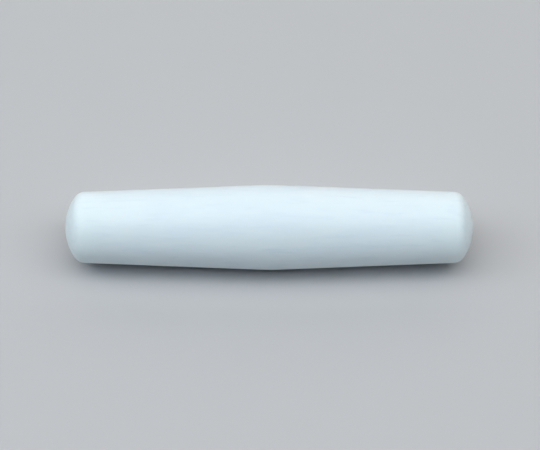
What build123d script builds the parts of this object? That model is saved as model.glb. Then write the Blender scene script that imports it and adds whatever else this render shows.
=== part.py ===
from build123d import *

import os
from math import atan2, cos, degrees, radians, sin, sqrt, tan

# Magnetic stir bar: a rod magnet sealed inside a moulded white jacket.
#
# The bar lies along X, as it lies on the floor of a vessel. Its jacket is a body of revolution,
# thickest at mid-length, that tapers straight towards both ends and closes each in a shallow
# dome. The thick middle is the belly: it alone touches the vessel, and the bar spins on it.
# The origin is the point of the belly that touches the vessel's floor, and +Z is up, the line
# that the bar turns about when it stirs. The magnet lies on the jacket's own axis, and its two
# end faces are the poles. Lengths are in millimetres and angles in degrees.

# Outside of the jacket
BAR_LENGTH = 38.1  # tip to tip
BELLY_DIAMETER = 7.94  # the thickest section, at mid-length
TAPER_ANGLE = 2.2  # slope of each half towards its end
CROWN_RADIUS = 30.0  # rounds the belly lengthways, where the tapers would meet in a ridge
DOME_RADIUS = 5.0  # ball radius of both end faces
SHOULDER_ROUNDING = 1.2  # rounds the edge where a taper meets its dome

# The magnet, and the jacket around it
MAGNET_DIAMETER = 4.76
POLE_CHAMFER = 0.25  # broken edge around each pole face
END_WALL = 3.17  # jacket from each pole face to the tip of its dome
CAVITY_CLEARANCE = 0.0  # all round: the jacket shrinks tight onto the magnet as it cools

PARTS_FOLDER = "parts"

BELLY_RADIUS = BELLY_DIAMETER / 2
TIP_X = BAR_LENGTH / 2
DOME_CENTRE_X = TIP_X - DOME_RADIUS
SLOPE = tan(radians(TAPER_ANGLE))
RIDGE_RADIUS = BELLY_RADIUS + CROWN_RADIUS * (1 / cos(radians(TAPER_ANGLE)) - 1)
MAGNET_LENGTH = BAR_LENGTH - 2 * END_WALL


def taper_radius(x):
    """Radius of the jacket's straight taper, at a distance from mid-length."""
    return RIDGE_RADIUS - SLOPE * x


def shoulder_distance():
    """Distance from mid-length at which the taper's line meets the dome's circle."""
    # The outer root of (x - DOME_CENTRE_X)^2 + taper_radius(x)^2 = DOME_RADIUS^2
    square = 1 + SLOPE**2
    middle = DOME_CENTRE_X + RIDGE_RADIUS * SLOPE
    rest = DOME_CENTRE_X**2 + RIDGE_RADIUS**2 - DOME_RADIUS**2
    return (middle + sqrt(middle**2 - square * rest)) / square


def jacket_body():
    """The jacket's outside as one solid along X, with its axis on the X axis."""
    crown_x = CROWN_RADIUS * sin(radians(TAPER_ANGLE))
    shoulder_x = shoulder_distance()
    dome_angle = degrees(atan2(taper_radius(shoulder_x), shoulder_x - DOME_CENTRE_X))
    crown_centre = (0, BELLY_RADIUS - CROWN_RADIUS)
    crown = CenterArc(crown_centre, CROWN_RADIUS, 90 - TAPER_ANGLE, 2 * TAPER_ANGLE)
    taper = Line((crown_x, taper_radius(crown_x)), (shoulder_x, taper_radius(shoulder_x)))
    dome = CenterArc((DOME_CENTRE_X, 0), DOME_RADIUS, 0, dome_angle)
    far_end = [mirror(edge, Plane.YZ) for edge in (taper, dome)]
    section = make_face([crown, taper, dome, *far_end, Line((-TIP_X, 0), (TIP_X, 0))])
    corners = section.vertices().sort_by(Axis.X)
    shoulders = [corners[1], corners[-2]]  # next to the two tips
    return revolve(fillet(shoulders, SHOULDER_ROUNDING), Axis.X)


def rod(clearance=0.0):
    """The magnet's shape along X, grown on every side by a clearance."""
    half_length = MAGNET_LENGTH / 2 + clearance
    turned = Rot(0, 90, 0) * Cylinder(MAGNET_DIAMETER / 2 + clearance, 2 * half_length)
    pole_edges = turned.edges().filter_by(GeomType.CIRCLE)
    return chamfer(pole_edges, POLE_CHAMFER)


def write(node, shape):
    """Writes one sub-part, lifted so that the belly stands on the vessel's floor."""
    lying = Pos(0, 0, BELLY_RADIUS) * shape
    lying.label = node
    export_step(lying, os.path.join(PARTS_FOLDER, f"{node}.step"))


os.makedirs(PARTS_FOLDER, exist_ok=True)
write("rod_magnet", rod())
write("ptfe_jacket", jacket_body() - rod(CAVITY_CLEARANCE))
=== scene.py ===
"""Magnetic stir bar: the looks of a white PTFE bar with a rod magnet sealed inside.

The file is laid out as an add-on and is run as a script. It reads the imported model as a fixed
frame, turns the jacket's outline into a fine skin with the magnet's cavity inside it, gives the
jacket and the magnet their finishes, and sets up a plain studio. Everything is in metres, in the
frame's own coordinates: the bar lies along X with the belly's lowest point at the origin.
"""

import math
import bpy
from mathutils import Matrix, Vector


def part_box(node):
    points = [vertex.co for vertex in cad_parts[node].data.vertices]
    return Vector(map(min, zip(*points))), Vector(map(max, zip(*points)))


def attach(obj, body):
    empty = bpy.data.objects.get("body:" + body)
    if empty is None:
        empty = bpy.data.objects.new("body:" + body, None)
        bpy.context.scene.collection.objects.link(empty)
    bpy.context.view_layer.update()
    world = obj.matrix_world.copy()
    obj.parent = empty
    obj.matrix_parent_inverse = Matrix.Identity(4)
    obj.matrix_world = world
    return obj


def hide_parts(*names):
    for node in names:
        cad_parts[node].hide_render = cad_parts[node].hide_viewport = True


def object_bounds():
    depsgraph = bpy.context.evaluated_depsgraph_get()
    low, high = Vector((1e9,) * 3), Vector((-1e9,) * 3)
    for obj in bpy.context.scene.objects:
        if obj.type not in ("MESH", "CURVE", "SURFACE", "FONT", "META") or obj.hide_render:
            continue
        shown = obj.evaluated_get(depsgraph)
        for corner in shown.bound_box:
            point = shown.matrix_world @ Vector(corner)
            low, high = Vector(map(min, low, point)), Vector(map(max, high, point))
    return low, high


bl_info = {
    "name": "Magnetic Stir Bar",
    "version": (1, 0, 0),
    "blender": (4, 5, 0),
    "location": "View3D > Sidebar > Stir Bar",
    "description": "Builds a white magnetic stir bar and a plain studio around its packed model",
    "category": "Add Mesh",
}

import bmesh
import bpy
from bpy.props import FloatProperty, FloatVectorProperty, IntProperty, PointerProperty
from mathutils import Vector, noise

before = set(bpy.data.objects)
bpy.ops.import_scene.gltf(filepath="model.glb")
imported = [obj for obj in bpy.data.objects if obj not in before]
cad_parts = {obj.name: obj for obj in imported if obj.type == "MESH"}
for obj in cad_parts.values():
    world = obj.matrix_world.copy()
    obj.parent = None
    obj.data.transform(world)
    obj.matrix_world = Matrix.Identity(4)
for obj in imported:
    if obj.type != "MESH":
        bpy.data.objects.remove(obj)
CAD_LOW, CAD_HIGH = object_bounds()
JACKET_LOW, JACKET_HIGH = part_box("ptfe_jacket")
MAGNET_LOW, MAGNET_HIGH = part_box("rod_magnet")

MM = 0.001
SHARP_EDGE = math.radians(30)  # shading stays sharp across an edge that turns by more
FLOOR_SIDES = 96

TIP_X = JACKET_HIGH.x
BELLY_RADIUS = (JACKET_HIGH.z - JACKET_LOW.z) / 2
POLE_X = MAGNET_HIGH.x
MAGNET_RADIUS = (MAGNET_HIGH.z - MAGNET_LOW.z) / 2
BAR_AXIS = Vector((0, 0, (MAGNET_HIGH.z + MAGNET_LOW.z) / 2))


# ---------------------------------------------------------------------------------------------
# Sizes and colours that a user would change
# ---------------------------------------------------------------------------------------------


def length(name, description, default):
    """A size in metres, as a property."""
    return FloatProperty(
        name=name, description=description, default=default, min=0, precision=5, unit="LENGTH"
    )


def colour(name, description, default):
    """A linear colour, as a property."""
    return FloatVectorProperty(
        name=name, description=description, default=default, min=0, max=1, subtype="COLOR"
    )


def angle(name, description, degrees):
    """An angle, given in degrees and kept in radians, as a property."""
    return FloatProperty(
        name=name, description=description, default=math.radians(degrees), subtype="ANGLE"
    )


def power(name, watts):
    """A light's power, as a property."""
    return FloatProperty(name=name, description="In watts", default=watts, min=0, unit="POWER")


def strength(name, description, default):
    """A plain factor, as a property."""
    return FloatProperty(name=name, description=description, default=default, min=0, precision=3)


class StirBarJacket(bpy.types.PropertyGroup):
    """The moulded jacket: its outline, its faint moulding waves and its white."""

    taper_angle: angle("Taper angle", "Slope of each half towards its end", 2.2)
    crown_radius: length("Crown radius", "Rounds the belly lengthways", 30 * MM)
    dome_radius: length("Dome radius", "Ball radius of both end faces", 5.0 * MM)
    shoulder_rounding: length("Shoulder rounding", "Between each taper and its dome", 1.2 * MM)
    pole_chamfer: length("Pole chamfer", "Of the cavity, around the magnet's ends", 0.25 * MM)
    facets_around: IntProperty(
        name="Facets around", description="Faces around the bar", default=180, min=24
    )
    facet_length: length("Facet length", "Longest face along the outside", 0.2 * MM)
    wave_height: length("Wave height", "Of the moulding's faint waves", 0.006 * MM)
    wave_length: length("Wave length", "Of those waves, along the bar", 9 * MM)
    wave_width: length("Wave width", "Of those waves, across the bar", 1.8 * MM)
    over_magnet: colour("Over the magnet", "White of the thin wall over it", (0.765, 0.86, 0.935))
    solid_ends: colour("Solid ends", "White of the thick ends beyond it", (0.785, 0.885, 0.955))
    cloud: colour("Cloud", "The milkier white of faint clouds in the wall", (0.79, 0.88, 0.95))
    streak: colour("Streak", "The greyer white of faint streaks along the bar", (0.738, 0.836, 0.913))
    pale_streak: colour("Pale streak", "The milkier white between those", (0.792, 0.878, 0.943))
    cloud_size: length("Cloud size", "Across the bar; they are 2.5 times as long", 3 * MM)
    streak_width: length("Streak width", "Across the bar; they are 7 times as long", 0.45 * MM)
    grain_size: length("Grain size", "Of the surface's fine grain", 0.09 * MM)
    glow_depth: length("Glow depth", "How far light spreads inside the wall", 0.6 * MM)


class StirBarMagnet(bpy.types.PropertyGroup):
    """The cast rod: ground round its side, with darker grain."""

    metal: colour("Ground metal", "Bright metal of the ground side", (0.42, 0.42, 0.43))
    grain: colour("Cast grain", "Darker metal between the grains", (0.20, 0.195, 0.19))
    grain_size: length("Grain size", "Of that cast grain", 0.5 * MM)
    grind_spacing: length("Grinding marks", "Spacing of the marks along the rod", 0.12 * MM)


class StirBarStudio(bpy.types.PropertyGroup):
    """The floor, the soft lights around the bar and the camera."""

    floor_colour: colour("Floor", "Pale floor", (0.505, 0.505, 0.51))
    floor_radius: length("Floor radius", "Of the round floor", 0.3)
    mottle_size: length("Mottle size", "Of the floor's faint mottle", 8 * MM)
    light_distance: length("Light distance", "From the bar to every soft light", 0.45)
    light_length: length("Light length", "Of the three long lights, along the bar", 1.2)
    light_width: length("Light width", "Of every soft light, across", 0.3)
    front_colour: colour("Front light", "Long light a little in front of overhead", (0.835, 0.925, 1.0))
    front_power: power("Front power", 2.2)
    front_tilt: angle("Front tilt", "Of the front light from overhead", 17)
    top_colour: colour("Top light", "Long light straight overhead", (1.0, 0.965, 0.925))
    top_power: power("Top power", 1.5)
    back_colour: colour("Back light", "Long low light behind", (1.0, 0.93, 0.89))
    back_power: power("Back power", 0.92)
    back_tilt: angle("Back tilt", "Of the back light from overhead", 55)
    side_colour: colour("Side light", "Small light beyond the left end", (0.7, 0.85, 1.0))
    side_power: power("Side power", 0.28)
    side_tilt: angle("Side tilt", "Of the side light from overhead", 55)
    room_colour: colour("Room", "Colour of the room's own light", (0.93, 0.965, 1.0))
    room_light: strength("Room light", "How much the room lights the bar", 0.03)
    backdrop: strength("Backdrop", "How bright the room looks past the floor's edge", 0.55)
    elevation: angle("Camera elevation", "Above the floor", 50)
    focal_length: FloatProperty(
        name="Focal length", description="In millimetres", default=200, unit="CAMERA"
    )
    bar_share: FloatProperty(
        name="Bar's share", description="Share of the picture's width that it spans", default=0.755
    )
    aim_right: length("Aim right", "Right of the bar's centre, where the camera aims", 0.085 * MM)
    aim_up: length("Aim up", "Above the bar's centre, where the camera aims", 0.22 * MM)


# ---------------------------------------------------------------------------------------------
# Node trees
# ---------------------------------------------------------------------------------------------


def new_material(name):
    """An empty node material, and its tree."""
    material = bpy.data.materials.new(name)
    material.use_nodes = True
    material.node_tree.nodes.clear()
    return material, material.node_tree


def add(tree, kind, sockets=None, **settings):
    """Adds a node. Each socket named in sockets gets a constant, or a link from another node."""
    made = tree.nodes.new("ShaderNode" + kind)
    for name, value in settings.items():
        setattr(made, name, value)
    for name, value in (sockets or {}).items():
        if isinstance(value, bpy.types.NodeSocket):
            tree.links.new(value, made.inputs[name])
        else:
            made.inputs[name].default_value = value
    return made


def mix_colours(tree, share, first, second):
    """A colour that goes from the first to the second as share goes from 0 to 1."""
    made = tree.nodes.new("ShaderNodeMix")
    made.data_type = "RGBA"
    sockets = {socket.identifier: socket for socket in made.inputs}
    for name, value in (("Factor_Float", share), ("A_Color", first), ("B_Color", second)):
        if isinstance(value, bpy.types.NodeSocket):
            tree.links.new(value, sockets[name])
        else:
            sockets[name].default_value = (*value, 1)
    return next(socket for socket in made.outputs if socket.identifier == "Result_Color")


def stretched_noise(tree, place, size, along=1.0, detail=2.0):
    """Noise with blobs of a size in metres, drawn out along the bar by a factor."""
    drawn = add(tree, "Mapping", {"Vector": place, "Scale": (1 / along, 1, 1)})
    texture = add(
        tree,
        "TexNoise",
        {"Vector": drawn.outputs["Vector"], "Scale": 1 / size, "Detail": detail},
    )
    return texture.outputs["Fac"]


def ramp(tree, value, start, stop, low=0.0, high=1.0, smooth=False):
    """Maps a value's range onto another, and stops at both ends."""
    made = add(
        tree,
        "MapRange",
        {"Value": value, "From Min": start, "From Max": stop, "To Min": low, "To Max": high},
        interpolation_type="SMOOTHSTEP" if smooth else "LINEAR",
    )
    return made.outputs["Result"]


def bump(tree, height, distance, strength=1.0, under=None):
    """A bump of a height in metres, laid over another if one is given."""
    sockets = {"Height": height, "Distance": distance, "Strength": strength}
    if under is not None:
        sockets["Normal"] = under
    return add(tree, "Bump", sockets).outputs["Normal"]


def finish_with(tree, shader):
    """Links a shader to the material's output."""
    add(tree, "OutputMaterial", {"Surface": shader.outputs["BSDF"]})


# ---------------------------------------------------------------------------------------------
# The jacket
# ---------------------------------------------------------------------------------------------


def arc(centre, radius, start, stop, facet):
    """Points of an arc in the outline's plane, from its start to just before its stop."""
    count = math.ceil(abs(stop - start) * radius / facet)
    turns = [start + (stop - start) * i / count for i in range(count)]
    return [(centre[0] + radius * math.cos(t), centre[1] + radius * math.sin(t)) for t in turns]


def half_outline(jacket):
    """(x, radius) points of the jacket from mid-length to one tip."""
    upright = math.pi / 2
    angle = jacket.taper_angle
    slope = math.tan(angle)
    ridge = BELLY_RADIUS + jacket.crown_radius * (1 / math.cos(angle) - 1)
    dome_x = TIP_X - jacket.dome_radius

    # The shoulder's circle rolls inside the taper's line and the dome's circle, so its centre is
    # the outer root of (x - dome_x)^2 + (inner_ridge - slope x)^2 = reach^2
    inner_ridge = ridge - jacket.shoulder_rounding / math.cos(angle)
    reach = jacket.dome_radius - jacket.shoulder_rounding
    square = 1 + slope**2
    middle = dome_x + inner_ridge * slope
    rest = dome_x**2 + inner_ridge**2 - reach**2
    shoulder_x = (middle + math.sqrt(middle**2 - square * rest)) / square
    shoulder = (shoulder_x, inner_ridge - slope * shoulder_x)
    dome_angle = math.atan2(shoulder[1], shoulder[0] - dome_x)

    facet = jacket.facet_length
    crown = arc((0, BELLY_RADIUS - jacket.crown_radius), jacket.crown_radius, upright,
                upright - angle, facet)
    taper_start = jacket.crown_radius * math.sin(angle)
    taper_stop = shoulder[0] + jacket.shoulder_rounding * math.sin(angle)
    steps = math.ceil((taper_stop - taper_start) / facet)
    taper_xs = [taper_start + (taper_stop - taper_start) * i / steps for i in range(steps)]
    taper = [(x, ridge - slope * x) for x in taper_xs]
    rounding = arc(shoulder, jacket.shoulder_rounding, upright - angle, dome_angle, facet / 4)
    dome = arc((dome_x, 0), jacket.dome_radius, dome_angle, 0, facet / 2)
    return [*crown, *taper, *rounding, *dome, (TIP_X, 0)]


def half_cavity(jacket):
    """(x, radius) points of the magnet's cavity from mid-length to one pole."""
    chamfer = jacket.pole_chamfer
    return [
        (0, MAGNET_RADIUS),
        (POLE_X - chamfer, MAGNET_RADIUS),
        (POLE_X, MAGNET_RADIUS - chamfer),
        (POLE_X, 0),
    ]


def both_ways(half):
    """A whole outline from one half, from tip to tip."""
    return [(-x, radius) for x, radius in reversed(half[1:])] + half


def turn(skin, outline, facets):
    """Turns an outline that starts and stops on the bar's axis into a closed surface."""
    turns = [math.tau * i / facets for i in range(facets)]
    rings = []
    for x, radius in outline[1:-1]:
        places = [BAR_AXIS + Vector((x, radius * math.sin(t), radius * math.cos(t))) for t in turns]
        rings.append([skin.verts.new(place) for place in places])
    first = skin.verts.new(BAR_AXIS + Vector((outline[0][0], 0, 0)))
    last = skin.verts.new(BAR_AXIS + Vector((outline[-1][0], 0, 0)))
    for i in range(facets):
        after = (i + 1) % facets
        skin.faces.new((first, rings[0][i], rings[0][after]))
        skin.faces.new((last, rings[-1][after], rings[-1][i]))
        for near, far in zip(rings, rings[1:]):
            skin.faces.new((near[i], far[i], far[after], near[after]))


def wave(point, jacket):
    """Height of the moulding's faint waves at a point."""
    sizes = (jacket.wave_length, jacket.wave_width, jacket.wave_width)
    return jacket.wave_height * noise.noise(Vector(p / size for p, size in zip(point, sizes)))


def jacket_mesh(jacket):
    """The outside, with its faint waves, and the cavity that the magnet fills."""
    skin = bmesh.new()
    turn(skin, both_ways(half_outline(jacket)), jacket.facets_around)
    skin.normal_update()
    for vert in skin.verts:
        vert.co += vert.normal * wave(vert.co, jacket)
    turn(skin, both_ways(half_cavity(jacket))[::-1], jacket.facets_around)
    mesh = bpy.data.meshes.new("ptfe_jacket_skin")
    skin.to_mesh(mesh)
    skin.free()
    mesh.shade_smooth()
    mesh.set_sharp_from_angle(angle=SHARP_EDGE)
    return mesh


def white_ptfe(jacket):
    """Waxy, faintly translucent white: bluer over the magnet, milkier in clouds and at the ends."""
    material, tree = new_material("white_ptfe")
    place = add(tree, "TexCoord").outputs["Object"]
    along = add(tree, "SeparateXYZ", {"Vector": place}).outputs["X"]
    from_middle = add(tree, "Math", {0: along}, operation="ABSOLUTE").outputs["Value"]

    past_pole = ramp(tree, from_middle, POLE_X - 2.2 * MM, POLE_X + 1.2 * MM, smooth=True)
    clouds = ramp(tree, stretched_noise(tree, place, jacket.cloud_size, along=2.5), 0.42, 0.66, high=0.8)
    wall = mix_colours(tree, clouds, jacket.over_magnet, jacket.cloud)
    plain = mix_colours(tree, past_pole, wall, jacket.solid_ends)
    streaks = stretched_noise(tree, place, jacket.streak_width, along=7, detail=3)
    streaked = mix_colours(tree, ramp(tree, streaks, 0.56, 0.72), plain, jacket.streak)
    white = mix_colours(tree, ramp(tree, streaks, 0.44, 0.28), streaked, jacket.pale_streak)

    grain = stretched_noise(tree, place, jacket.grain_size)
    shine = ramp(tree, streaks, 0.3, 0.7, low=0.36, high=0.46)
    relief = bump(tree, grain, 0.004 * MM, under=bump(tree, streaks, 0.012 * MM))

    finish_with(tree, add(tree, "BsdfPrincipled", {
        "Base Color": white,
        "Roughness": shine,
        "IOR": 1.36,
        "Normal": relief,
        "Subsurface Weight": 1.0,
        "Subsurface Radius": (1.0, 1.0, 1.0),
        "Subsurface Scale": jacket.glow_depth,
    }, subsurface_method="RANDOM_WALK"))
    return material


class STIRBAR_OT_make_jacket(bpy.types.Operator):
    """Build the moulded white jacket around the magnet"""

    bl_idname = "stirbar.make_jacket"
    bl_label = "Make Jacket"
    bl_options = {"REGISTER", "UNDO"}

    def execute(self, context):
        jacket = context.scene.stir_bar_jacket
        piece = bpy.data.objects.new("moulded_jacket", jacket_mesh(jacket))
        context.collection.objects.link(piece)
        piece.data.materials.append(white_ptfe(jacket))
        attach(piece, "root")
        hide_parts("ptfe_jacket")
        return {"FINISHED"}


# ---------------------------------------------------------------------------------------------
# The magnet
# ---------------------------------------------------------------------------------------------


def ground_magnet(magnet):
    """Cast magnet alloy: coarse darker grain under fine grinding marks round the rod."""
    material, tree = new_material("ground_magnet_alloy")
    place = add(tree, "TexCoord").outputs["Object"]
    grains = stretched_noise(tree, place, magnet.grain_size, detail=4)
    metal = mix_colours(tree, ramp(tree, grains, 0.48, 0.62), magnet.metal, magnet.grain)
    marks = add(tree, "TexWave", {
        "Vector": place,
        "Scale": 1 / (20 * magnet.grind_spacing),
        "Distortion": 3.0,
        "Detail": 3.0,
    }, wave_type="BANDS", bands_direction="X").outputs["Fac"]
    finish_with(tree, add(tree, "BsdfPrincipled", {
        "Base Color": metal,
        "Metallic": 1.0,
        "Roughness": ramp(tree, marks, 0, 1, low=0.32, high=0.5),
        "Normal": bump(tree, marks, 0.004 * MM, under=bump(tree, grains, 0.01 * MM)),
    }))
    return material


class STIRBAR_OT_finish_magnet(bpy.types.Operator):
    """Give the rod magnet its ground metal"""

    bl_idname = "stirbar.finish_magnet"
    bl_label = "Finish Magnet"
    bl_options = {"REGISTER", "UNDO"}

    def execute(self, context):
        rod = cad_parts["rod_magnet"]
        rod.data.materials.clear()
        rod.data.materials.append(ground_magnet(context.scene.stir_bar_magnet))
        return {"FINISHED"}


# ---------------------------------------------------------------------------------------------
# The studio
# ---------------------------------------------------------------------------------------------


def make_floor(studio):
    """A round, pale, matt floor under the belly."""
    disc = bmesh.new()
    bmesh.ops.create_circle(disc, cap_ends=True, segments=FLOOR_SIDES, radius=studio.floor_radius)
    mesh = bpy.data.meshes.new("studio_floor")
    disc.to_mesh(mesh)
    disc.free()
    material, tree = new_material("pale_floor")
    place = add(tree, "TexCoord").outputs["Object"]
    mottle = stretched_noise(tree, place, studio.mottle_size, detail=3)
    lighter = [min(1, 1.02 * part) for part in studio.floor_colour]
    finish_with(tree, add(tree, "BsdfPrincipled", {
        "Base Color": mix_colours(tree, mottle, studio.floor_colour, lighter),
        "Roughness": 0.85,
        "Specular IOR Level": 0.2,
    }))
    mesh.materials.append(material)
    floor = bpy.data.objects.new("studio_floor", mesh)
    bpy.context.collection.objects.link(floor)


def softbox(name, studio, away, length, power, colour):
    """One soft light that faces the bar, from a direction away from it."""
    data = bpy.data.lights.new(name, "AREA")
    data.shape = "RECTANGLE"
    data.size = length
    data.size_y = studio.light_width
    data.energy = power
    data.color = colour
    light = bpy.data.objects.new(name, data)
    light.location = studio.light_distance * away
    light.rotation_euler = away.to_track_quat("Z", "Y").to_euler()
    bpy.context.collection.objects.link(light)


def make_lights(studio):
    """Three long soft lights over and behind the bar, and a small one past its left end."""
    long_lights = (
        ("front_softbox", -studio.front_tilt, studio.front_power, studio.front_colour),
        ("top_softbox", 0, studio.top_power, studio.top_colour),
        ("back_softbox", studio.back_tilt, studio.back_power, studio.back_colour),
    )
    for name, tilt, watts, tint in long_lights:
        away = Vector((0, math.sin(tilt), math.cos(tilt)))
        softbox(name, studio, away, studio.light_length, watts, tint)
    left = Vector((-math.sin(studio.side_tilt), 0, math.cos(studio.side_tilt)))
    softbox("side_softbox", studio, left, studio.light_width, studio.side_power, studio.side_colour)


def make_room(scene, studio):
    """A pale plain room: it shows past the floor's edge, and lights the bar only faintly."""
    world = bpy.data.worlds.new("pale_room")
    world.use_nodes = True
    tree = world.node_tree
    tree.nodes.clear()
    tint = (*studio.room_colour, 1)
    light = add(tree, "Background", {"Color": tint, "Strength": studio.room_light})
    backdrop = add(tree, "Background", {"Color": tint, "Strength": studio.backdrop})
    seen = add(tree, "LightPath").outputs["Is Camera Ray"]
    room = add(tree, "MixShader", {
        0: seen,
        1: light.outputs["Background"],
        2: backdrop.outputs["Background"],
    })
    add(tree, "OutputWorld", {"Surface": room.outputs["Shader"]})
    scene.world = world


def make_camera(scene, studio):
    """A long lens square to the bar, looking down on it."""
    data = bpy.data.cameras.new("camera")
    data.lens = studio.focal_length
    picture_width = (JACKET_HIGH.x - JACKET_LOW.x) / studio.bar_share
    distance = picture_width * data.lens / data.sensor_width
    sine, cosine = math.sin(studio.elevation), math.cos(studio.elevation)
    right, up, back = Vector((1, 0, 0)), Vector((0, sine, cosine)), Vector((0, -cosine, sine))
    aim = (CAD_LOW + CAD_HIGH) / 2 + studio.aim_right * right + studio.aim_up * up
    camera = bpy.data.objects.new("camera", data)
    camera.location = aim + distance * back
    camera.rotation_euler = (math.pi / 2 - studio.elevation, 0, 0)
    data.clip_start = distance / 100
    bpy.context.collection.objects.link(camera)
    scene.camera = camera


class STIRBAR_OT_make_studio(bpy.types.Operator):
    """Set up the pale floor, the soft lights and the camera"""

    bl_idname = "stirbar.make_studio"
    bl_label = "Make Studio"
    bl_options = {"REGISTER", "UNDO"}

    def execute(self, context):
        scene = context.scene
        studio = scene.stir_bar_studio
        make_floor(studio)
        make_lights(studio)
        make_room(scene, studio)
        make_camera(scene, studio)
        scene.view_settings.view_transform = "Standard"
        return {"FINISHED"}


# ---------------------------------------------------------------------------------------------
# The sidebar, and the run
# ---------------------------------------------------------------------------------------------


class VIEW3D_PT_stir_bar(bpy.types.Panel):
    """Lists the bar's steps and sizes in the sidebar"""

    bl_label = "Magnetic Stir Bar"
    bl_space_type = "VIEW_3D"
    bl_region_type = "UI"
    bl_category = "Stir Bar"

    def draw(self, context):
        for step, name in STEPS:
            box = self.layout.box()
            settings = getattr(context.scene, name)
            for key in settings.bl_rna.properties.keys():
                if key not in ("rna_type", "name"):
                    box.prop(settings, key)
            box.operator(step.bl_idname)


STEPS = (
    (STIRBAR_OT_make_jacket, "stir_bar_jacket"),
    (STIRBAR_OT_finish_magnet, "stir_bar_magnet"),
    (STIRBAR_OT_make_studio, "stir_bar_studio"),
)
SETTINGS = {
    "stir_bar_jacket": StirBarJacket,
    "stir_bar_magnet": StirBarMagnet,
    "stir_bar_studio": StirBarStudio,
}
CLASSES = (*SETTINGS.values(), *(step for step, _ in STEPS), VIEW3D_PT_stir_bar)


def register():
    for item in CLASSES:
        bpy.utils.register_class(item)
    for name, group in SETTINGS.items():
        setattr(bpy.types.Scene, name, PointerProperty(type=group))


def unregister():
    for name in SETTINGS:
        delattr(bpy.types.Scene, name)
    for item in reversed(CLASSES):
        bpy.utils.unregister_class(item)


def main():
    register()
    bpy.ops.stirbar.make_jacket()
    bpy.ops.stirbar.finish_magnet()
    bpy.ops.stirbar.make_studio()


if __name__ == "__main__":
    main()
